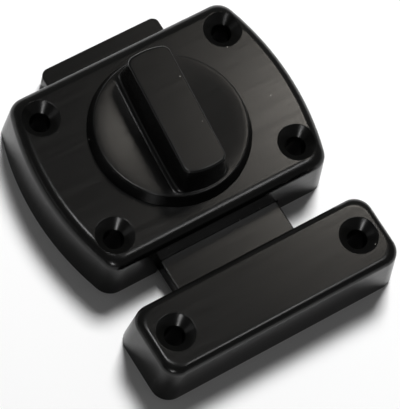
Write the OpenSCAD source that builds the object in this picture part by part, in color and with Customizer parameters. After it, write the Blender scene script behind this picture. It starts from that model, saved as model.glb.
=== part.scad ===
// Surface-mounted thumb-turn door lock: a cast casing with a turn knob that throws a flat
// sliding bolt into a separate cast strike.
// Millimetres. The origin is where the knob's axis meets the back of the casing, the plane
// that lies on the door. +Z points out of the door, -Y is the way the bolt is thrown, and X
// runs along the casing. The pieces are drawn with the bolt in the strike.

/* [Casing] */
// Length across the two arched ends, at the back
casing_length = 60.7; // [55:0.1:70]
// Width along the bolt, at the back
casing_width = 43.6; // [40:0.2:50]
// Radius of the arched ends
arch_radius = 60; // [45:1:120]
// Corner radius between an arched end and a straight side
corner_radius = 3.8; // [2.6:0.1:5]
// Draft of the outer walls of the casing and the strike, in degrees
wall_draft = 4; // [1:0.5:6]
// Round along the top edge of the casing
edge_round = 2.6; // [1.2:0.1:3]
// Thickness of the outer walls
wall = 2.2; // [1.8:0.1:2.8]
// Thickness of the roof that carries the knob
roof = 2.4; // [2:0.1:4]
// Width of the rim that frames the back plate
plate_rim = 1.2; // [0.9:0.1:1.6]
// Thickness of the back plate
plate_t = 0.8; // [0.6:0.1:1.2]

/* [Fixing holes] */
// From the end of the casing to the centre of a screw hole, along X
hole_edge_x = 8.35; // [7.4:0.05:10]
// From the side of the casing to the centre of a screw hole, along Y
hole_edge_y = 7.2; // [6.2:0.1:9]
// Diameter of a screw hole
hole_d = 4.3; // [3.2:0.1:5]
// Diameter of a countersink at its rim
countersink_d = 8.2; // [7:0.1:9]
// Round along the rim of a countersink
countersink_round = 0.3; // [0.1:0.05:0.5]
// Wall of a screw post around its hole
post_wall = 2.3; // [1.5:0.1:3]

/* [Knob] */
// Radius of the knob's disc where it meets the casing
disc_base_r = 17.05; // [15:0.05:19]
// Radius of the knob's disc at its rim
disc_top_r = 16.05; // [14:0.05:18]
// Height of the disc's rim above the casing
disc_rise = 2.8; // [2:0.1:4]
// Depth of the dish in the top of the disc
disc_dish = 1; // [0.4:0.1:1.4]
// Height of the thumb bar above the casing
bar_rise = 10.5; // [8:0.5:14]
// Width of the thumb bar at its top
bar_top_w = 9.5; // [6:0.1:12]
// Width of the thumb bar where it leaves the disc
bar_base_w = 10.9; // [8:0.1:14]
// Round along the top edge of the thumb bar
bar_round = 0.6; // [0.4:0.1:1]
// Corner radius of the thumb bar
bar_corner = 1.8; // [1.1:0.1:2.4]
// Round where the thumb bar's flanks run out into the disc
bar_root = 1.2; // [0.4:0.1:1.6]
// Turn of the thumb bar away from the bolt's line, in degrees
knob_rest_turn = 5; // [0:1:10]
// Diameter of the journal that turns in the bush
journal_d = 12; // [10:0.5:13]

/* [Crank] */
// Distance from the knob's axis to the crank pin
crank_radius = 9.5; // [8.5:0.25:10]
// Thickness of the crank lever
lever_t = 3; // [2.6:0.1:4]
// Diameter of the crank pin
pin_d = 4; // [3:0.25:4.5]
// Turn of the knob from locked to unlocked, in degrees
knob_turn = 90; // [80:1:90]

/* [Bolt] */
// Width of the bolt
bolt_w = 28.6; // [26:0.2:30]
// Thickness of the bolt
bolt_t = 3.4; // [3:0.1:4.5]
// Length of the tail that stands out behind the casing when the bolt is in the strike
tail_reach = 4.9; // [2:0.1:8]
// Corner radius of the bolt's ends
bolt_corner = 1.8; // [1:0.1:3]
// Round along the bolt's upper edges
bolt_round = 0.5; // [0.2:0.1:0.8]

/* [Strike] */
// Length of the strike, at the back
strike_length = 57.8; // [54:0.2:66]
// Width of the strike along the bolt, at the back
strike_w = 17.8; // [14:0.2:20]
// Corner radius of the strike
strike_corner = 3.8; // [3:0.1:5]
// Round along the top edge of the strike
strike_round = 1.8; // [1:0.1:2.2]
// From the end of the strike to the centre of a screw hole
strike_hole_edge = 6.9; // [6.4:0.1:9]
// Gap between the casing and the strike
strike_gap = 7.5; // [6:0.1:9]

/* [Clearances] */
// Gap between the bolt and what guides it
guide_gap = 0.3; // [0.2:0.05:0.4]
// Gap between the bolt and the strike's mouth
mouth_gap = 1.2; // [0.8:0.1:1.6]
// Gap between the crank pin and the sides of its slot
slot_gap = 0.3; // [0.25:0.05:0.5]
// Radial running gap of the journal in the bush
journal_gap = 0.05; // [0.03:0.01:0.1]
// Gap between the skirt of the knob's disc and what it turns on and around
skirt_gap = 0.2; // [0.1:0.05:0.4]
// Radial gap of pieces that are pressed or seated together
seat_gap = 0.03; // [0.01:0.01:0.05]

/* [Hidden] */
$fn = 64;

black_enamel = "#1c1d1e";
zinc_plate = "#b9bcc0";
spring_steel = "#8f9398";
nylon = "#e6e3da";

thin = 0.01;
beyond = 40;

// Heights, from the back up to the roof
bolt_z0 = plate_t + guide_gap;
bolt_z1 = bolt_z0 + bolt_t;
window_z1 = bolt_z1 + guide_gap;
head_gap = 1;
screw_head_h = 1.6;
crank_washer_t = 0.6;
lever_recess = 1.4;
screw_head_z0 = bolt_z1 + head_gap;
crank_washer_z0 = screw_head_z0 + screw_head_h;
lever_seat_z = crank_washer_z0 + crank_washer_t;
lever_z0 = lever_seat_z - lever_recess;
lever_z1 = lever_z0 + lever_t;
wave_space = 0.8;
roof_z = lever_z1 + wave_space;
casing_height = roof_z + roof;
bush_flange_t = 0.5;
disc_z0 = casing_height + bush_flange_t;
disc_z1 = casing_height + disc_rise;
bar_z1 = casing_height + bar_rise;

// Fixing holes
hole_x = casing_length / 2 - hole_edge_x;
hole_y = casing_width / 2 - hole_edge_y;
post_r = hole_d / 2 + post_wall;
strike_hole_x = strike_length / 2 - strike_hole_edge;

// Casing interior
cavity_y = casing_width / 2 - wall;
channel_x = bolt_w / 2 + guide_gap;
rail_t = 1.8;
plate_screw_x = casing_length / 2 - 5.7;
plate_screw_d = 2.2;
plate_screw_head_d = 4.2;
plate_screw_reach = 6;
plate_post_r = 2.8;

// Bush and journal
bush_wall = 1;
bush_r = journal_d / 2 + journal_gap + bush_wall;
bush_flange_r = disc_base_r - 4;

// Thumb bar and the dished disc that it stands on
rim_r = 0.4;
rim_lean = 25;
dish_r = disc_top_r - 3 * rim_r;
bar_end_r = disc_top_r - 0.7;
bar_end_lean = 1;
bar_foot_z = disc_z1 - disc_dish;
bar_shoulder_z = bar_z1 - bar_round;
bar_steps = 6;
bar_root_end = 75;
bar_root_sink = 0.3;
bar_root_least = 0.1;
bar_root_share = 0.7;

// Crank. The pin swings half of the knob's turn to each side of the X axis, and the bolt
// follows it in a straight line at one even rate, which the pin's sine stays close to.
pin_swing = knob_turn / 2;
even_rate = 0.924;
bolt_lead = even_rate * crank_radius;
bolt_travel = bolt_lead * knob_turn * PI / 180;
rest_swing = pin_swing - knob_rest_turn;
rest_slot_y = -bolt_lead * rest_swing * PI / 180;
rest_retract = bolt_lead * knob_rest_turn * PI / 180;
lever_hub_r = journal_d / 2 + 1;
lever_tip_r = pin_d / 2 + 1.5;
lever_lean = acos((lever_hub_r - lever_tip_r) / crank_radius);
lever_sweep_y = crank_radius * sin(pin_swing) + lever_tip_r;
tenon_w = journal_d / 2;
crank_screw_d = 4;
crank_screw_head_d = 7;
crank_screw_reach = 6;
crank_washer_r = 4.6;

// Stop posts at each end of the lever's swing, clear of its round tip and of its straight flank
stop_r = 1.5;
stop_gap = 0.3;
stop_radius = crank_radius + 1.2;
stop_reach = lever_tip_r + stop_r + stop_gap;
tip_lead = acos((pow(crank_radius, 2) + pow(stop_radius, 2) - pow(stop_reach, 2))
    / (2 * crank_radius * stop_radius));
flank_lead = lever_lean - acos((lever_hub_r + stop_r + stop_gap) / stop_radius);
stop_lead = max(tip_lead, flank_lead);

// Bolt, from its tail to its front end
casing_front_inset = bolt_z1 * tan(wall_draft);
bolt_front_y = -(casing_width / 2 - casing_front_inset) - bolt_travel + rest_retract;
bolt_tail_y = casing_width / 2 + tail_reach;

// Leaf spring that bears on the bolt
spring_half = 9;
spring_w = 5;
spring_t = 0.35;
spring_rise = 1.6;
spring_gap = 0.1;
spring_z0 = bolt_z1 + spring_gap;
spring_y = (lever_sweep_y + cavity_y) / 2;
spring_r = (pow(spring_half, 2) + pow(spring_rise, 2)) / (2 * spring_rise);
spring_end_z = spring_z0 + spring_r - sqrt(pow(spring_r - spring_t, 2) - pow(spring_half, 2));

// Strike
strike_y = -(casing_width / 2 + strike_gap + strike_w / 2);
strike_height = casing_height;
mouth_x = bolt_w / 2 + mouth_gap;
mouth_z1 = bolt_z1 + mouth_gap;

// Sharp outline of the casing: two arcs and two straight sides
module casing_outline() {
    intersection() {
        translate([arch_radius - casing_length / 2, 0])
            circle(r = arch_radius, $fn = 180);
        translate([casing_length / 2 - arch_radius, 0])
            circle(r = arch_radius, $fn = 180);
        square([casing_length, casing_width], center = true);
    }
}

// The same outline, drawn in by inset, as a prism with true arched walls
module casing_prism(inset, z0, z1) {
    intersection() {
        translate([-(arch_radius - casing_length / 2), 0, z0])
            cylinder(r = arch_radius - inset, h = z1 - z0);
        translate([arch_radius - casing_length / 2, 0, z0])
            cylinder(r = arch_radius - inset, h = z1 - z0);
        translate([-casing_length / 2, -casing_width / 2 + inset, z0])
            cube([casing_length, casing_width - 2 * inset, z1 - z0]);
    }
}

// Heights and insets of a wall that leans in by the draft and rolls over into the top
function wall_levels(height, round_r, steps) =
    let (
        tangent_z = height - round_r * (1 - sin(wall_draft)),
        centre_inset = tangent_z * tan(wall_draft) + round_r * cos(wall_draft)
    )
    concat(
        [[0, 0]],
        [for (i = [0:steps])
            let (a = wall_draft + (90 - wall_draft) * i / steps)
            [height - round_r + round_r * sin(a), centre_inset - round_r * cos(a)]]
    );

// Cast block with drafted walls, round vertical corners and a rolled top edge
module cast_block(height, round_r, corner, steps) {
    hull()
        for (level = wall_levels(height, round_r, steps))
            translate([0, 0, level[0] - thin])
                linear_extrude(thin)
                    offset(r = corner, $fn = 48)
                        offset(delta = -corner - level[1])
                            children();
}

// Countersunk screw hole at the given height: a 90 degree cone whose rim rolls over into the top
module screw_hole(z_top) {
    depth = (countersink_d - hole_d) / 2;
    roll_r = countersink_d / 2 + countersink_round * (sqrt(2) - 1);
    step = 9;
    last = 90 + step;
    run_out = countersink_round * 0.4;
    translate([0, 0, -beyond])
        cylinder(d = hole_d, h = 2 * beyond);
    translate([0, 0, z_top])
        rotate_extrude()
            polygon(concat(
                [[0, -depth], [hole_d / 2, -depth]],
                [for (a = [135:-step:last]) [
                    roll_r + countersink_round * cos(a),
                    countersink_round * (sin(a) - 1)
                ]],
                [
                    [
                        roll_r + countersink_round * cos(last) + run_out * sin(last),
                        countersink_round * (sin(last) - 1) - run_out * cos(last)
                    ],
                    [0, depth]
                ]
            ));
}

module at_fixing_holes() {
    for (sx = [-1, 1], sy = [-1, 1])
        translate([sx * hole_x, sy * hole_y, 0])
            children();
}

module at_plate_screws() {
    for (side = [-1, 1])
        translate([side * plate_screw_x, 0, 0])
            children();
}

// Plate with four round corners
module round_plate(x0, x1, y0, y1, r, z0, z1) {
    translate([0, 0, z0]) {
        translate([x0 + r, y0, 0])
            cube([x1 - x0 - 2 * r, y1 - y0, z1 - z0]);
        translate([x0, y0 + r, 0])
            cube([x1 - x0, y1 - y0 - 2 * r, z1 - z0]);
        for (x = [x0 + r, x1 - r], y = [y0 + r, y1 - r])
            translate([x, y, 0])
                cylinder(r = r, h = z1 - z0);
    }
}

// Screw posts and the webs that tie them to the walls
module casing_posts() {
    web = 2;
    at_fixing_holes() translate([0, 0, plate_t])
        cylinder(r = post_r, h = casing_height - roof / 2 - plate_t);
    intersection() {
        casing_prism(wall / 2, plate_t, roof_z + roof / 2);
        for (sx = [-1, 1], sy = [-1, 1])
            translate([sx * hole_x, sy * hole_y, 0]) {
                translate([sx > 0 ? 0 : -beyond, -web / 2, 0])
                    cube([beyond, web, beyond]);
                translate([-web / 2, sy > 0 ? 0 : -beyond, 0])
                    cube([web, beyond, beyond]);
            }
    }
    intersection() {
        casing_prism(wall / 2, plate_t, roof_z + roof / 2);
        at_plate_screws()
            cylinder(r = plate_post_r, h = beyond);
    }
}

// Rails beside the bolt, clear of the lever's swing
module casing_rails() {
    rail_start = lever_tip_r + 3.5;
    for (sx = [-1, 1], sy = [-1, 1])
        translate([
            sx > 0 ? channel_x : -channel_x - rail_t,
            sy > 0 ? rail_start : -cavity_y - wall / 2,
            plate_t
        ])
            cube([rail_t, cavity_y + wall / 2 - rail_start, roof_z + roof / 2 - plate_t]);
}

// Posts that stop the lever at the locked and the unlocked end
module casing_stops() {
    for (side = [-1, 1])
        rotate(180 + side * (pin_swing + stop_lead))
            translate([stop_radius, 0, lever_z0])
                cylinder(r = stop_r, h = roof_z + roof / 2 - lever_z0, $fn = 32);
}

// Pockets under the roof that hold the ends of the leaf spring
module casing_spring_seats() {
    seat_in = 1.4;
    lip = 1.3;
    for (side = [-1, 1]) {
        translate([
            side > 0 ? spring_half - seat_in : -spring_half - lip,
            spring_y - spring_w / 2,
            spring_end_z + spring_gap
        ])
            cube([seat_in + lip, spring_w, roof_z + roof / 2 - spring_end_z - spring_gap]);
        translate([
            side > 0 ? spring_half + spring_gap : -spring_half - lip,
            spring_y - spring_w / 2,
            spring_z0 + spring_rise / 2
        ])
            cube([lip - spring_gap, spring_w, roof_z - spring_z0 - spring_rise / 2]);
    }
}

module casing() {
    color(black_enamel)
        difference() {
            union() {
                difference() {
                    cast_block(casing_height, edge_round, corner_radius, 8)
                        casing_outline();
                    casing_prism(wall, -beyond, roof_z);
                }
                casing_posts();
                casing_rails();
                casing_stops();
                casing_spring_seats();
            }
            translate([-beyond, -beyond, -beyond])
                cube([2 * beyond, 2 * beyond, beyond]);
            casing_prism(plate_rim, -beyond, plate_t);
            translate([-channel_x, -beyond, -beyond])
                cube([2 * channel_x, 2 * beyond, beyond + window_z1]);
            at_fixing_holes() screw_hole(casing_height);
            at_plate_screws() translate([0, 0, -beyond])
                cylinder(d = plate_screw_d, h = beyond + plate_t + plate_screw_reach, $fn = 32);
            cylinder(r = bush_r + seat_gap, h = beyond);
        }
}

module back_plate() {
    edge_gap = 0.15;
    color(zinc_plate)
        difference() {
            union() {
                casing_prism(plate_rim + edge_gap, 0, plate_t);
                translate([-channel_x + edge_gap, -casing_width / 2 + edge_gap, 0])
                    cube([2 * (channel_x - edge_gap), casing_width - 2 * edge_gap, plate_t]);
            }
            at_fixing_holes() translate([0, 0, -beyond])
                cylinder(d = hole_d, h = 2 * beyond);
            at_plate_screws() translate([0, 0, -thin])
                cylinder(
                    d1 = plate_screw_head_d + 2 * seat_gap,
                    d2 = plate_screw_d + 2 * seat_gap,
                    h = plate_t + 2 * thin,
                    $fn = 32
                );
        }
}

// Cross recess of a screw head that opens downwards at z0
module cross_recess(z0, span, depth) {
    slot = span / 4;
    for (turn = [0, 90])
        rotate(turn)
            translate([-span / 2, -slot / 2, z0 - beyond])
                cube([span, slot, beyond + depth]);
}

module plate_screws() {
    color(zinc_plate)
        at_plate_screws()
            difference() {
                union() {
                    cylinder(d1 = plate_screw_head_d, d2 = plate_screw_d, h = plate_t, $fn = 32);
                    cylinder(
                        d = plate_screw_d - 2 * seat_gap,
                        h = plate_t + plate_screw_reach - 0.5,
                        $fn = 32
                    );
                }
                cross_recess(0, plate_screw_head_d * 0.6, plate_t * 0.7);
            }
}

module knob_bush() {
    color(nylon)
        difference() {
            union() {
                translate([0, 0, roof_z])
                    cylinder(r = bush_r, h = roof);
                translate([0, 0, casing_height])
                    cylinder(r = bush_flange_r, h = bush_flange_t);
            }
            cylinder(d = journal_d + 2 * journal_gap, h = beyond);
        }
}

// Disc and journal as one turned profile: a skirt round the bush, a rolled rim and a dished top
module knob_disc() {
    skirt_r = bush_flange_r + skirt_gap;
    skirt_z0 = casing_height + skirt_gap;
    rotate_extrude($fn = 128)
        polygon(concat(
            [
                [0, lever_z1], [journal_d / 2, lever_z1], [journal_d / 2, disc_z0],
                [skirt_r, disc_z0], [skirt_r, skirt_z0], [disc_base_r, skirt_z0]
            ],
            [for (a = [rim_lean:13:90]) [
                disc_top_r - rim_r + rim_r * cos(a),
                disc_z1 - rim_r + rim_r * sin(a)
            ]],
            [[dish_r, disc_z1], [0, disc_z1 - disc_dish]]
        ));
}

// Height of the disc's top at a distance from its centre
function dish_z(r) = disc_z1 - disc_dish * max(0, 1 - r / dish_r);

// Outline of the thumb bar, from the middle of its right flank anticlockwise: straight flanks,
// round corners and ends that follow the disc. Each entry is a point and its outward direction.
function bar_outline(half_w, end_r, corner) =
    let (
        cx = half_w - corner,
        cy = sqrt(pow(end_r - corner, 2) - pow(cx, 2)),
        turn = atan2(cy, cx),
        quarter = concat(
            [for (i = [0:bar_steps - 1]) [[half_w, cy * i / bar_steps], 0]],
            [for (i = [0:bar_steps - 1])
                let (a = turn * i / bar_steps)
                [[cx, cy] + corner * [cos(a), sin(a)], a]],
            [for (i = [0:bar_steps])
                let (a = turn + (90 - turn) * i / bar_steps)
                [end_r * [cos(a), sin(a)], a]]
        ),
        half = concat(
            quarter,
            [for (i = [len(quarter) - 2:-1:1])
                [[-quarter[i][0].x, quarter[i][0].y], 180 - quarter[i][1]]]
        )
    )
    concat(half, [for (entry = half) [-entry[0], entry[1] + 180]]);

// Distance from a point to the disc's rim in the direction a
function rim_room(p, a) =
    let (out = p * [cos(a), sin(a)])
    sqrt(max(0, pow(out, 2) - p * p + pow(disc_top_r - rim_r, 2))) - out;

// Ring of points where the bar runs out into the disc, at angle a of its root round; sink carries
// the ring on along the round's tangent
function root_ring(foot, shoulder, a, sink) = [
    for (i = [0:len(foot) - 1])
        let (
            p = foot[i][0],
            out = foot[i][1],
            round_r = max(bar_root_least, min(bar_root, bar_root_share * rim_room(p, out))),
            reach = round_r * (1 - cos(a)) + sink * sin(a),
            rise = round_r * (1 - sin(a)) - sink * cos(a),
            spread = p + reach * [cos(out), sin(out)],
            z = dish_z(norm(spread)) + rise,
            lean = (z - bar_foot_z) / (bar_shoulder_z - bar_foot_z),
            q = spread + lean * (shoulder[i][0] - p)
        )
        [q.x, q.y, z]
];

function flat_ring(outline, z) = [for (entry = outline) [entry[0].x, entry[0].y, z]];

// Triangles across a ring of n points, from each point of the right flank to its mirror image
function bar_cap(n) = [
    for (i = [-n / 4:n / 4 - 1])
        let (a = (i + n) % n, b = (i + 1 + n) % n, c = (n / 2 - i - 1 + n) % n, d = (n / 2 - i + n) % n)
        each concat(b == c ? [] : [[a, b, c]], a == d ? [] : [[a, c, d]])
];

// Thumb bar as a loft of rings: buried foot, root round, drafted flanks and a rolled top edge
module thumb_bar() {
    top_r = bar_end_r - bar_end_lean;
    foot = bar_outline(bar_base_w / 2, bar_end_r, bar_corner);
    shoulder = bar_outline(bar_top_w / 2, top_r, bar_corner);
    sunk = root_ring(foot, shoulder, bar_root_end, bar_root_sink);
    rings = concat(
        [[for (p = sunk) [p.x, p.y, disc_z0 + bar_root_sink]], sunk],
        [for (a = [bar_root_end:-15:0]) root_ring(foot, shoulder, a, 0)],
        [for (a = [0:15:90])
            let (inset = bar_round * (1 - cos(a)))
            flat_ring(
                bar_outline(bar_top_w / 2 - inset, top_r - inset, bar_corner - inset),
                bar_shoulder_z + bar_round * sin(a)
            )]
    );
    n = len(foot);
    last = len(rings) - 1;
    polyhedron(
        [for (ring = rings) each ring],
        concat(
            [for (tri = bar_cap(n)) tri],
            [for (tri = bar_cap(n)) last * n * [1, 1, 1] + [tri[2], tri[1], tri[0]]],
            [for (k = [0:last - 1], i = [0:n - 1])
                let (j = (i + 1) % n)
                each [
                    [k * n + i, (k + 1) * n + i, (k + 1) * n + j],
                    [k * n + i, (k + 1) * n + j, k * n + j]
                ]]
        ),
        convexity = 6
    );
}

module thumb_knob() {
    color(black_enamel)
        difference() {
            union() {
                knob_disc();
                rotate(-knob_rest_turn) thumb_bar();
                rotate(180 + rest_swing)
                    translate([-tenon_w / 2, -tenon_w / 2, lever_seat_z + 0.2])
                        cube([tenon_w, tenon_w, lever_z1 - lever_seat_z]);
            }
            translate([0, 0, -thin])
                cylinder(
                    d = crank_screw_d + 2 * seat_gap,
                    h = lever_z1 + crank_screw_reach,
                    $fn = 32
                );
        }
}

// Lever that carries the crank pin, a hub and a tip joined by their tangents
module crank_lever() {
    color(zinc_plate)
        rotate(180 + rest_swing)
            difference() {
                translate([0, 0, lever_z0]) {
                    cylinder(r = lever_hub_r, h = lever_t);
                    translate([crank_radius, 0, 0])
                        cylinder(r = lever_tip_r, h = lever_t);
                    linear_extrude(lever_t)
                        polygon([
                            lever_hub_r * [cos(lever_lean), sin(lever_lean)],
                            lever_hub_r * [cos(lever_lean), -sin(lever_lean)],
                            [crank_radius, 0] + lever_tip_r * [cos(lever_lean), -sin(lever_lean)],
                            [crank_radius, 0] + lever_tip_r * [cos(lever_lean), sin(lever_lean)]
                        ]);
                }
                translate([-tenon_w / 2 - seat_gap, -tenon_w / 2 - seat_gap, 0])
                    cube([tenon_w + 2 * seat_gap, tenon_w + 2 * seat_gap, beyond]);
                cylinder(r = crank_washer_r + 2 * seat_gap, h = lever_seat_z);
                translate([crank_radius, 0, 0])
                    cylinder(d = pin_d + 2 * seat_gap, h = beyond, $fn = 32);
            }
}

module crank_pin() {
    tip = 0.4;
    pin_z0 = bolt_z0 + 0.2;
    color(zinc_plate)
        rotate(180 + rest_swing)
            translate([crank_radius, 0, pin_z0]) {
                cylinder(d1 = pin_d - 2 * tip, d2 = pin_d, h = tip, $fn = 32);
                translate([0, 0, tip])
                    cylinder(d = pin_d, h = lever_z1 - pin_z0 - tip, $fn = 32);
            }
}

module crank_washer() {
    color(zinc_plate)
        translate([0, 0, crank_washer_z0])
            difference() {
                cylinder(r = crank_washer_r, h = crank_washer_t);
                translate([0, 0, -thin])
                    cylinder(d = crank_screw_d + 0.3, h = crank_washer_t + 2 * thin, $fn = 32);
            }
}

module crank_screw() {
    crown = 0.5;
    color(zinc_plate)
        difference() {
            translate([0, 0, screw_head_z0]) {
                cylinder(
                    d1 = crank_screw_head_d - 2 * crown,
                    d2 = crank_screw_head_d,
                    h = crown,
                    $fn = 32
                );
                translate([0, 0, crown])
                    cylinder(d = crank_screw_head_d, h = screw_head_h - crown, $fn = 32);
                cylinder(
                    d = crank_screw_d,
                    h = lever_z1 + crank_screw_reach - screw_head_z0 - 0.5,
                    $fn = 32
                );
            }
            cross_recess(screw_head_z0, crank_screw_head_d * 0.6, screw_head_h * 0.6);
        }
}

// Ring of spring steel with three waves
module wave_washer() {
    inner_r = journal_d / 2 + 0.2;
    outer_r = inner_r + 1.6;
    thickness = 0.3;
    play = 0.05;
    swell = (wave_space - thickness) / 2 - play;
    steps = 48;
    mid_z = lever_z1 + wave_space / 2;
    points = [
        for (i = [0:steps - 1])
            let (a = 360 * i / steps, z = mid_z + swell * sin(3 * a))
                each [
                    [inner_r * cos(a), inner_r * sin(a), z - thickness / 2],
                    [outer_r * cos(a), outer_r * sin(a), z - thickness / 2],
                    [outer_r * cos(a), outer_r * sin(a), z + thickness / 2],
                    [inner_r * cos(a), inner_r * sin(a), z + thickness / 2]
                ]
    ];
    faces = [
        for (i = [0:steps - 1], k = [0:3])
            let (here = 4 * i, there = 4 * ((i + 1) % steps), m = (k + 1) % 4)
                [here + k, here + m, there + m, there + k]
    ];
    color(spring_steel)
        polyhedron(points, [for (f = faces) [f[3], f[2], f[1], f[0]]], convexity = 4);
}

// Flat bolt: rounded upper edges, round corners and a cross slot for the crank pin
module bolt() {
    half = bolt_w / 2;
    slot_r = pin_d / 2 + slot_gap;
    slot_x0 = -crank_radius - 0.4;
    slot_x1 = -crank_radius * cos(pin_swing) + 0.4;
    color(black_enamel)
        difference() {
            intersection() {
                round_plate(-half, half, bolt_front_y, bolt_tail_y, bolt_corner, bolt_z0, bolt_z1);
                translate([0, bolt_tail_y, 0])
                    rotate([90, 0, 0])
                        linear_extrude(bolt_tail_y - bolt_front_y)
                            union() {
                                translate([-half, bolt_z0])
                                    square([bolt_w, bolt_t - bolt_round]);
                                translate([-half + bolt_round, bolt_z0])
                                    square([bolt_w - 2 * bolt_round, bolt_t]);
                                for (side = [-1, 1])
                                    translate([side * (half - bolt_round), bolt_z1 - bolt_round])
                                        circle(r = bolt_round, $fn = 32);
                            }
            }
            round_plate(
                slot_x0 - slot_r, slot_x1 + slot_r,
                rest_slot_y - slot_r, rest_slot_y + slot_r,
                slot_r - thin, bolt_z0 - 1, bolt_z1 + 1
            );
        }
}

// Bowed leaf that bears on the bolt's upper face
module bolt_spring() {
    color(spring_steel)
        intersection() {
            translate([0, spring_y + spring_w / 2, spring_z0 + spring_r])
                rotate([90, 0, 0])
                    difference() {
                        cylinder(r = spring_r, h = spring_w);
                        translate([0, 0, -thin])
                            cylinder(r = spring_r - spring_t, h = spring_w + 2 * thin);
                    }
            translate([-spring_half, spring_y - spring_w / 2, spring_z0])
                cube([2 * spring_half, spring_w, 2 * spring_rise]);
        }
}

// Strike: hollow cast keeper with a mouth for the bolt and two screw posts
module strike() {
    inner_y = strike_w / 2 - wall;
    inner_x = strike_length / 2 - wall;
    rib = 1.6;
    color(black_enamel)
        translate([0, strike_y, 0])
            difference() {
                union() {
                    difference() {
                        cast_block(strike_height, strike_round, strike_corner, 7)
                            square([strike_length, strike_w], center = true);
                        translate([-inner_x, -inner_y, -beyond])
                            cube([2 * inner_x, 2 * inner_y, beyond + strike_height - roof]);
                    }
                    for (side = [-1, 1]) {
                        translate([side * strike_hole_x, 0, 0])
                            cylinder(r = post_r, h = strike_height - roof / 2);
                        translate([side > 0 ? mouth_x : -mouth_x - rib, -inner_y - wall / 2, 0])
                            cube([rib, 2 * inner_y + wall, strike_height - roof / 2]);
                    }
                }
                translate([-beyond, -beyond, -beyond])
                    cube([2 * beyond, 2 * beyond, beyond]);
                translate([-mouth_x, 0, -beyond])
                    cube([2 * mouth_x, beyond, beyond + mouth_z1]);
                for (side = [-1, 1])
                    translate([side * strike_hole_x, 0, 0])
                        screw_hole(strike_height);
            }
}

casing();
back_plate();
plate_screws();
knob_bush();
thumb_knob();
crank_lever();
crank_pin();
crank_washer();
crank_screw();
wave_washer();
bolt();
bolt_spring();
strike();
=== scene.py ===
import math

import bpy
from bpy.props import FloatProperty, FloatVectorProperty, PointerProperty
from mathutils import Matrix, Vector

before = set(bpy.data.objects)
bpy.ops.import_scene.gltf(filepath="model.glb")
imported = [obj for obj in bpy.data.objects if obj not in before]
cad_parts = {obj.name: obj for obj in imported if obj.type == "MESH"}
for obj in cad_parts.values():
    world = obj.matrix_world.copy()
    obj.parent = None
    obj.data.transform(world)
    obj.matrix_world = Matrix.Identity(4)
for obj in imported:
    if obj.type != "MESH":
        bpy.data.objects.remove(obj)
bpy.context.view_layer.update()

bl_info = {
    "name": "Thumb-turn door lock",
    "version": (1, 0, 0),
    "blender": (4, 5, 0),
    "location": "View3D > Sidebar > Lock",
    "description": "Finishes the pieces of a surface-mounted thumb-turn lock and sets its stage",
    "category": "Object",
}

MM = 0.001

# Pieces by the finish that they share
ENAMELLED = ("casing", "thumb_knob", "bolt", "strike")
PLATED = ("back_plate", "plate_screws", "crank_lever", "crank_pin", "crank_washer", "crank_screw")
SPRINGS = ("wave_washer", "bolt_spring")
MOULDED = ("knob_bush",)

# Edges that turn less than this are shaded as one round, once corners within the weld are joined
ROUND_ANGLE = math.radians(32)
WELD = 0.002 * MM
# Facets that turn less than this are one flat face, whose normal then rules the rounds beside it,
# but not on a piece with a dish so shallow that its facets would pass for flats
FLAT_ANGLE = math.radians(0.05)
DISHED = ("thumb_knob",)
# The dish leans this far from level, and what meets it at more than the foot's angle is creased.
# The last two values are the middle and half the span of the Z of the dish's normals.
FOOT_ANGLE = math.radians(5)
DISH_LEAN = (math.radians(0.5), math.radians(6))
DISH_UPRIGHT = (math.cos(DISH_LEAN[0]) + math.cos(DISH_LEAN[1])) / 2
DISH_UPRIGHT_RANGE = (math.cos(DISH_LEAN[0]) - math.cos(DISH_LEAN[1])) / 2

# Nearly all values of a noise lie in this band
NOISE_BAND = {"From_Min": 0.3, "From_Max": 0.7}

# Spacing of the enamel's patterns in millimetres
STREAK_SPACING = 1.2
CLOUD_SPACING = 7
PEEL_SPACING = 0.9
NIB_SPACING = 3.7
# Its rubbing streaks: how they are drawn out along the casing, their depth against the orange
# peel, and how far they sway the roughness
STREAK_STRETCH = 0.06
STREAK_DEPTH = 4.0
STREAK_GLOSS = 0.025
# Radius of a dust nib's core and of its rim, as shares of the spacing
NIB_CORE = 0.025
NIB_RIM = 0.042

# Spacing of the rolled strip's lines in millimetres, and how they are drawn out along the casing
STRIP_SPACING = 0.4
STRIP_STRETCH = 0.03

# Half the floor's width in metres, and the sine of the height at which the horizon's glow ends
FLOOR_REACH = 3.0
GLOW_TOP = 0.6
# Width of the camera's sensor in millimetres
SENSOR_WIDTH = 36.0

# Each lamp's name, place and size in metres, radiance, colour, and whether it lights or shows in gloss.
# The key stands steep at the back right, which keeps the shadow short and the near walls dark.
# The top card gives the sheen that grows to the right, and the next two the lines on the rolled
# edges. The low left card adds a faint line at the left and at the foot of the bar, and the low
# front card the glints in the countersinks and on the flank of the disc.
LAMPS = (
    ("key_softbox", (0.39, 0.39, 0.83), (0.28, 0.28), 48.0, "#ffffff", "LIGHT"),
    ("top_card", (0.156, 0.069, 0.273), (0.055, 0.055), 15.6, "#fff8ee", "GLOSS"),
    ("left_card", (-0.05, 0.06, 0.48), (0.06, 0.12), 26.0, "#ffffff", "GLOSS"),
    ("front_card", (0.165, -0.125, 0.45), (0.2, 0.05), 13.0, "#ffffff", "GLOSS"),
    ("low_left_card", (-0.45, 0.14, 0.16), (0.2, 0.05), 1.0, "#ffffff", "GLOSS"),
    ("low_front_card", (-0.31, -0.33, 0.21), (0.08, 0.08), 20.0, "#ffffff", "GLOSS"),
)


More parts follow.
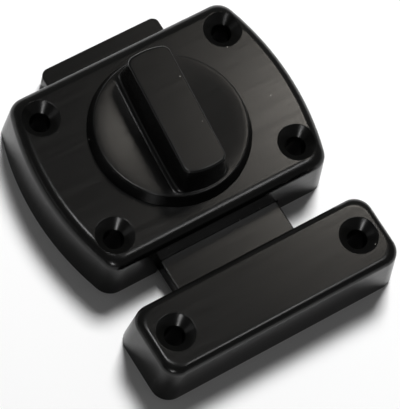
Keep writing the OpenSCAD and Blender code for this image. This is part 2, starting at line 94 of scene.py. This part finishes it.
def linear(hex_colour):
    """Turns an sRGB hex value into a linear RGBA tuple."""
    channels = [int(hex_colour[i:i + 2], 16) / 255 for i in (1, 3, 5)]
    return tuple(c / 12.92 if c <= 0.04045 else ((c + 0.055) / 1.055) ** 2.4 for c in channels) + (1.0,)


def per_mm(size):
    """Scale of a pattern in object space whose features are this many millimetres apart."""
    return 1 / (size * MM)


def add_node(tree, kind, settings=None, **sockets):
    """Adds a node, sets its options, and sets or links its inputs.

    Inputs go by name, or by number as _0 or _1 where a node has several of one name. A colour mix
    has its factor at 0 and its colours at 6 and 7, and gives its result at output 2.
    """
    node = tree.nodes.new(kind)
    for name, value in (settings or {}).items():
        setattr(node, name, value)
    for name, value in sockets.items():
        key = int(name[1:]) if name[0] == "_" else name.replace("_", " ")
        socket = node.inputs[key]
        if isinstance(value, bpy.types.NodeSocket):
            tree.links.new(value, socket)
        else:
            socket.default_value = value
    return node


def new_material(name):
    """Empty node material with that name, and its tree."""
    material = bpy.data.materials.new(name)
    material.use_nodes = True
    material.node_tree.nodes.clear()
    return material, material.node_tree


# Stoved black enamel on die-cast zinc: sprayed and baked, so it is deep black with a satin
# sheen, a slight orange peel, faint rubbing streaks along the casing and a few dust nibs.
# The peel and the nibs are drawn a little coarse, because finer ones wouldn't show.
def satin_black_enamel(finish):
    material, tree = new_material("satin_black_enamel")
    place = add_node(tree, "ShaderNodeTexCoord").outputs["Object"]
    along = add_node(tree, "ShaderNodeMapping", Vector=place, Scale=(STREAK_STRETCH, 1.0, 1.0))
    streaks = add_node(
        tree, "ShaderNodeTexNoise", Vector=along.outputs["Vector"], Scale=per_mm(STREAK_SPACING), Detail=4.0
    )
    gloss = add_node(
        tree, "ShaderNodeMapRange", Value=streaks.outputs["Fac"], **NOISE_BAND,
        To_Min=finish.enamel_roughness - STREAK_GLOSS, To_Max=finish.enamel_roughness + STREAK_GLOSS,
    )
    clouds = add_node(
        tree, "ShaderNodeTexNoise", Vector=place, Scale=per_mm(CLOUD_SPACING), Detail=3.0
    )
    shade = add_node(
        tree, "ShaderNodeMix", {"data_type": "RGBA"}, _0=clouds.outputs["Fac"],
        _6=finish.enamel_colour[:] + (1.0,), _7=finish.enamel_worn[:] + (1.0,),
    )
    nearest = add_node(tree, "ShaderNodeTexVoronoi", Vector=place, Scale=per_mm(NIB_SPACING))
    nibs = add_node(
        tree, "ShaderNodeMapRange", Value=nearest.outputs["Distance"], From_Min=NIB_CORE, From_Max=NIB_RIM,
        To_Min=1.0, To_Max=0.0,
    )
    dusty = add_node(
        tree, "ShaderNodeMix", {"data_type": "RGBA"}, _0=nibs.outputs["Result"],
        _6=shade.outputs[2], _7=linear("#8a8983"),
    )
    peel = add_node(tree, "ShaderNodeTexNoise", Vector=place, Scale=per_mm(PEEL_SPACING), Detail=2.0)
    spots = add_node(
        tree, "ShaderNodeMath", {"operation": "ADD"}, _0=peel.outputs["Fac"], _1=nibs.outputs["Result"]
    )
    relief = add_node(
        tree, "ShaderNodeMath", {"operation": "MULTIPLY_ADD"},
        _0=streaks.outputs["Fac"], _1=STREAK_DEPTH, _2=spots.outputs["Value"],
    )
    bump = add_node(
        tree, "ShaderNodeBump", Height=relief.outputs["Value"], Strength=0.1, Distance=0.03 * MM
    )
    shader = add_node(
        tree, "ShaderNodeBsdfPrincipled",
        Base_Color=dusty.outputs[2],
        Roughness=gloss.outputs["Result"],
        IOR=1.33,
        Normal=bump.outputs["Normal"],
    )
    add_node(tree, "ShaderNodeOutputMaterial", Surface=shader.outputs["BSDF"])
    return material


# Bright zinc plating on steel: the lines of the rolled strip show through it along the casing,
# and the passivated zinc drifts between a cool and a faintly yellow grey. The lines are drawn
# coarser than on real strip, because finer ones wouldn't show.
def zinc_plated_steel():
    material, tree = new_material("zinc_plated_steel")
    place = add_node(tree, "ShaderNodeTexCoord").outputs["Object"]
    along = add_node(tree, "ShaderNodeMapping", Vector=place, Scale=(STRIP_STRETCH, 1.0, 1.0))
    rolling = add_node(
        tree, "ShaderNodeTexNoise", Vector=along.outputs["Vector"], Scale=per_mm(STRIP_SPACING), Detail=3.0
    )
    gloss = add_node(
        tree, "ShaderNodeMapRange", Value=rolling.outputs["Fac"], **NOISE_BAND, To_Min=0.26, To_Max=0.4
    )
    clouds = add_node(tree, "ShaderNodeTexNoise", Vector=place, Scale=per_mm(9), Detail=4.0)
    tint = add_node(
        tree, "ShaderNodeMix", {"data_type": "RGBA"}, _0=clouds.outputs["Fac"],
        _6=linear("#afb4bb"), _7=linear("#c4c1b4"),
    )
    bump = add_node(
        tree, "ShaderNodeBump", Height=rolling.outputs["Fac"], Strength=0.12, Distance=0.02 * MM
    )
    shader = add_node(
        tree, "ShaderNodeBsdfPrincipled", Base_Color=tint.outputs[2], Metallic=1.0,
        Roughness=gloss.outputs["Result"], Normal=bump.outputs["Normal"],
    )
    add_node(tree, "ShaderNodeOutputMaterial", Surface=shader.outputs["BSDF"])
    return material


# Tempered spring steel: hard rolled strip with an oil-quenched skin, so it is darker and
# glossier than the plated parts, and mottled from straw to blue grey.
def spring_steel():
    material, tree = new_material("spring_steel")
    place = add_node(tree, "ShaderNodeTexCoord").outputs["Object"]
    clouds = add_node(tree, "ShaderNodeTexNoise", Vector=place, Scale=per_mm(3), Detail=3.0)
    gloss = add_node(
        tree, "ShaderNodeMapRange", Value=clouds.outputs["Fac"], **NOISE_BAND, To_Min=0.2, To_Max=0.32
    )
    tint = add_node(
        tree, "ShaderNodeMix", {"data_type": "RGBA"}, _0=clouds.outputs["Fac"],
        _6=linear("#868d98"), _7=linear("#9a9488"),
    )
    shader = add_node(
        tree, "ShaderNodeBsdfPrincipled", Base_Color=tint.outputs[2], Metallic=1.0,
        Roughness=gloss.outputs["Result"],
    )
    add_node(tree, "ShaderNodeOutputMaterial", Surface=shader.outputs["BSDF"])
    return material


# Natural nylon: moulded against a spark-eroded tool, so it is milky with a fine matt grain. The
# grain is drawn coarser than it is, because a finer one wouldn't show.
def moulded_nylon():
    material, tree = new_material("moulded_nylon")
    place = add_node(tree, "ShaderNodeTexCoord").outputs["Object"]
    grain = add_node(tree, "ShaderNodeTexNoise", Vector=place, Scale=per_mm(0.5), Detail=2.0)
    gloss = add_node(
        tree, "ShaderNodeMapRange", Value=grain.outputs["Fac"], **NOISE_BAND, To_Min=0.42, To_Max=0.56
    )
    clouds = add_node(tree, "ShaderNodeTexNoise", Vector=place, Scale=per_mm(5), Detail=2.0)
    tint = add_node(
        tree, "ShaderNodeMix", {"data_type": "RGBA"}, _0=clouds.outputs["Fac"],
        _6=linear("#e2ded3"), _7=linear("#eae8e1"),
    )
    bump = add_node(
        tree, "ShaderNodeBump", Height=grain.outputs["Fac"], Strength=0.15, Distance=0.02 * MM
    )
    shader = add_node(
        tree, "ShaderNodeBsdfPrincipled", Base_Color=tint.outputs[2],
        Roughness=gloss.outputs["Result"], IOR=1.53, Normal=bump.outputs["Normal"],
        Subsurface_Weight=0.1,
    )
    add_node(tree, "ShaderNodeOutputMaterial", Surface=shader.outputs["BSDF"])
    return material


def dish_foot(tree, turn):
    """Adds nodes that pick the edges where something stands in a shallow dish."""
    lie = add_node(tree, "GeometryNodeInputNormal")
    upright = add_node(tree, "ShaderNodeSeparateXYZ", Vector=lie.outputs["Normal"])
    dish = add_node(
        tree, "FunctionNodeCompare", {"data_type": "FLOAT", "operation": "EQUAL"},
        _0=upright.outputs["Z"], _1=DISH_UPRIGHT, Epsilon=DISH_UPRIGHT_RANGE,
    )
    dish_mask = add_node(
        tree, "GeometryNodeFieldOnDomain", {"domain": "FACE", "data_type": "BOOLEAN"},
        _0=dish.outputs["Result"],
    )
    foot = add_node(
        tree, "FunctionNodeCompare", {"data_type": "FLOAT", "operation": "GREATER_THAN"},
        _0=turn, _1=FOOT_ANGLE,
    )
    both = add_node(
        tree, "FunctionNodeBooleanMath", {"operation": "AND"},
        _0=dish_mask.outputs[0], _1=foot.outputs["Result"],
    )
    return both.outputs["Boolean"]


def round_shading_tree(dished):
    """Node group that welds split facets and shades rounds smooth, and corners and a dish's foot sharp."""
    name = "dish_shading" if dished else "round_shading"
    if name in bpy.data.node_groups:
        return bpy.data.node_groups[name]
    tree = bpy.data.node_groups.new(name, "GeometryNodeTree")
    for direction in ("INPUT", "OUTPUT"):
        tree.interface.new_socket("Geometry", in_out=direction, socket_type="NodeSocketGeometry")
    start = add_node(tree, "NodeGroupInput")
    welded = add_node(
        tree, "GeometryNodeMergeByDistance", Geometry=start.outputs["Geometry"], Distance=WELD
    )
    smooth = add_node(
        tree, "GeometryNodeSetShadeSmooth", Geometry=welded.outputs["Geometry"], Shade_Smooth=True
    )
    turn = add_node(tree, "GeometryNodeInputMeshEdgeAngle").outputs["Unsigned Angle"]
    corner = add_node(
        tree, "FunctionNodeCompare", {"data_type": "FLOAT", "operation": "GREATER_THAN"},
        _0=turn, _1=ROUND_ANGLE,
    )
    crease = corner.outputs["Result"]
    if dished:
        either = add_node(
            tree, "FunctionNodeBooleanMath", {"operation": "OR"}, _0=crease, _1=dish_foot(tree, turn)
        )
        crease = either.outputs["Boolean"]
    sharp = add_node(
        tree, "GeometryNodeSetShadeSmooth", {"domain": "EDGE"},
        Geometry=smooth.outputs["Geometry"], Selection=crease, Shade_Smooth=False,
    )
    add_node(tree, "NodeGroupOutput", Geometry=sharp.outputs["Geometry"])
    return tree


def finish_node(name, material):
    """Gives a piece its finish, with smooth rounds and crisp corners."""
    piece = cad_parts[name]
    if not piece.material_slots:
        piece.data.materials.append(material)
    for slot in piece.material_slots:
        slot.material = material
    dished = name in DISHED
    piece.modifiers.new("round_shading", "NODES").node_group = round_shading_tree(dished)
    if not dished:
        flats = piece.modifiers.new("whole_flats", "DECIMATE")
        flats.decimate_type = "DISSOLVE"
        flats.angle_limit = FLAT_ANGLE
    weighted = piece.modifiers.new("weighted_normal", "WEIGHTED_NORMAL")
    weighted.keep_sharp = True


class LockFinishSettings(bpy.types.PropertyGroup):
    """Finish of the enamelled pieces"""
    enamel_colour: FloatVectorProperty(
        name="Enamel colour", description="Colour of the black enamel", subtype="COLOR", size=3,
        min=0, max=1, default=linear("#0a0a0a")[:3],
    )
    enamel_worn: FloatVectorProperty(
        name="Handled enamel", description="Colour of the enamel where hands have dulled it",
        subtype="COLOR", size=3, min=0, max=1, default=linear("#0e0e0d")[:3],
    )
    enamel_roughness: FloatProperty(
        name="Enamel roughness", description="Roughness of the satin enamel", min=0, max=1,
        default=0.24, subtype="FACTOR",
    )


class LockStageSettings(bpy.types.PropertyGroup):
    """Camera, floor and the light from all round"""
    target: FloatVectorProperty(
        name="Target", description="Point that the camera looks at", subtype="TRANSLATION", unit="LENGTH",
        size=3, default=(-3.2 * MM, -17.0 * MM, 12.5 * MM),
    )
    distance: FloatProperty(
        name="Distance", description="From the camera to the target", unit="LENGTH", default=603 * MM
    )
    azimuth: FloatProperty(
        name="Azimuth", description="Camera's bearing round the lock, 0 looking along +Y", subtype="ANGLE",
        default=math.radians(-50.42),
    )
    elevation: FloatProperty(
        name="Elevation", description="Camera's angle above the door's face", subtype="ANGLE",
        default=math.radians(64.7),
    )
    roll: FloatProperty(
        name="Roll", description="Camera's turn about its own axis", subtype="ANGLE",
        default=math.radians(20.38),
    )
    lens: FloatProperty(
        name="Lens", description="Focal length on a 36 mm sensor", min=1, default=262.8
    )
    floor_colour: FloatVectorProperty(
        name="Floor colour", description="Colour of the floor", subtype="COLOR", size=3, min=0, max=1,
        default=linear("#fbfbfb")[:3],
    )
    ambient: FloatProperty(
        name="Ambient", description="Strength of the even light from all round", min=0, default=0.1
    )
    horizon: FloatProperty(
        name="Horizon", description="Brightness of the horizon that the gloss shows", min=0, default=0.12
    )


class LOCK_OT_enamelled_pieces(bpy.types.Operator):
    """Finish the casing, knob, bolt and strike in satin black enamel"""
    bl_idname = "lock.enamelled_pieces"
    bl_label = "Enamelled pieces"

    def execute(self, context):
        enamel = satin_black_enamel(context.scene.lock_finish)
        for name in ENAMELLED:
            finish_node(name, enamel)
        return {"FINISHED"}


class LOCK_OT_plated_pieces(bpy.types.Operator):
    """Finish the back plate, the screws and the crank in zinc plate"""
    bl_idname = "lock.plated_pieces"
    bl_label = "Plated pieces"

    def execute(self, context):
        plate = zinc_plated_steel()
        for name in PLATED:
            finish_node(name, plate)
        return {"FINISHED"}


class LOCK_OT_springs(bpy.types.Operator):
    """Finish the wave washer and the leaf spring in spring steel"""
    bl_idname = "lock.springs"
    bl_label = "Springs"

    def execute(self, context):
        steel = spring_steel()
        for name in SPRINGS:
            finish_node(name, steel)
        return {"FINISHED"}


class LOCK_OT_bush(bpy.types.Operator):
    """Finish the knob's bush in moulded nylon"""
    bl_idname = "lock.bush"
    bl_label = "Bush"

    def execute(self, context):
        nylon = moulded_nylon()
        for name in MOULDED:
            finish_node(name, nylon)
        return {"FINISHED"}


def add_lamp(name, place, size, radiance, colour, shows_in):
    """Rectangular softbox at a place, facing the lock, that shows in gloss alone or lights alone."""
    lamp = bpy.data.lights.new(name, "AREA")
    lamp.shape = "RECTANGLE"
    lamp.size, lamp.size_y = size
    # The power of a flat lamp is pi times its radiance and its area
    lamp.energy = radiance * math.pi * size[0] * size[1]
    lamp.color = linear(colour)[:3]
    holder = bpy.data.objects.new(name, lamp)
    bpy.context.scene.collection.objects.link(holder)
    holder.location = place
    holder.rotation_euler = (-Vector(place)).to_track_quat("-Z", "Y").to_euler()
    holder.visible_camera = False
    holder.visible_diffuse = shows_in == "LIGHT"
    holder.visible_glossy = shows_in == "GLOSS"


class LOCK_OT_stage(bpy.types.Operator):
    """Set the floor, the lamps and the camera"""
    bl_idname = "lock.stage"
    bl_label = "Stage"

    def execute(self, context):
        stage = context.scene.lock_stage
        self.add_floor(stage)
        self.add_light(context, stage)
        self.add_camera(context, stage)
        context.scene.view_settings.view_transform = "Standard"
        return {"FINISHED"}

    def add_floor(self, stage):
        mesh = bpy.data.meshes.new("floor")
        corners = [(-1, -1), (1, -1), (1, 1), (-1, 1)]
        mesh.from_pydata([(x * FLOOR_REACH, y * FLOOR_REACH, 0.0) for x, y in corners], [], [(0, 1, 2, 3)])
        material, tree = new_material("pale_floor")
        shader = add_node(
            tree, "ShaderNodeBsdfPrincipled", Base_Color=stage.floor_colour[:] + (1.0,), Roughness=0.9,
            Specular_IOR_Level=0.0,
        )
        add_node(tree, "ShaderNodeOutputMaterial", Surface=shader.outputs["BSDF"])
        mesh.materials.append(material)
        floor = bpy.data.objects.new("floor", mesh)
        bpy.context.scene.collection.objects.link(floor)

    def add_light(self, context, stage):
        world = bpy.data.worlds.new("studio")
        world.use_nodes = True
        world.node_tree.nodes.clear()
        tree = world.node_tree
        sight = add_node(tree, "ShaderNodeTexCoord").outputs["Generated"]
        height = add_node(tree, "ShaderNodeSeparateXYZ", Vector=sight).outputs["Z"]
        glow = add_node(
            tree, "ShaderNodeMapRange", Value=height, From_Min=0.0, From_Max=GLOW_TOP,
            To_Min=stage.horizon, To_Max=0.0,
        )
        ray = add_node(tree, "ShaderNodeLightPath")
        strength = add_node(
            tree, "ShaderNodeMath", {"operation": "MULTIPLY_ADD"},
            _0=ray.outputs["Is Glossy Ray"], _1=glow.outputs["Result"], _2=stage.ambient,
        )
        sky = add_node(
            tree, "ShaderNodeBackground", Color=linear("#ffffff"), Strength=strength.outputs["Value"]
        )
        add_node(tree, "ShaderNodeOutputWorld", Surface=sky.outputs["Background"])
        context.scene.world = world
        for lamp in LAMPS:
            add_lamp(*lamp)

    def add_camera(self, context, stage):
        level = math.cos(stage.elevation)
        back = Vector((
            math.sin(stage.azimuth) * level, -math.cos(stage.azimuth) * level, math.sin(stage.elevation)
        ))
        right = (-back).cross(Vector((0, 0, 1))).normalized()
        up = back.cross(right)
        right = right * math.cos(stage.roll) + up * math.sin(stage.roll)
        up = back.cross(right)
        data = bpy.data.cameras.new("camera")
        data.lens = stage.lens
        data.sensor_width = SENSOR_WIDTH
        camera = bpy.data.objects.new("camera", data)
        context.scene.collection.objects.link(camera)
        place = Matrix((right, up, back)).transposed().to_4x4()
        place.translation = Vector(stage.target) + back * stage.distance
        camera.matrix_world = place
        context.scene.camera = camera


class LOCK_PT_panel(bpy.types.Panel):
    """Lists the lock's pieces and its stage"""
    bl_idname = "LOCK_PT_panel"
    bl_label = "Thumb-turn lock"
    bl_space_type = "VIEW_3D"
    bl_region_type = "UI"
    bl_category = "Lock"

    def draw(self, context):
        for operator in OPERATORS:
            self.layout.operator(operator.bl_idname)


OPERATORS = (
    LOCK_OT_enamelled_pieces, LOCK_OT_plated_pieces, LOCK_OT_springs, LOCK_OT_bush, LOCK_OT_stage
)
CLASSES = (LockFinishSettings, LockStageSettings) + OPERATORS + (LOCK_PT_panel,)


def register():
    for cls in CLASSES:
        bpy.utils.register_class(cls)
    bpy.types.Scene.lock_finish = PointerProperty(type=LockFinishSettings)
    bpy.types.Scene.lock_stage = PointerProperty(type=LockStageSettings)


def unregister():
    del bpy.types.Scene.lock_stage
    del bpy.types.Scene.lock_finish
    for cls in reversed(CLASSES):
        bpy.utils.unregister_class(cls)


def main():
    register()
    bpy.ops.lock.enamelled_pieces()
    bpy.ops.lock.plated_pieces()
    bpy.ops.lock.springs()
    bpy.ops.lock.bush()
    bpy.ops.lock.stage()


if __name__ == "__main__":
    main()
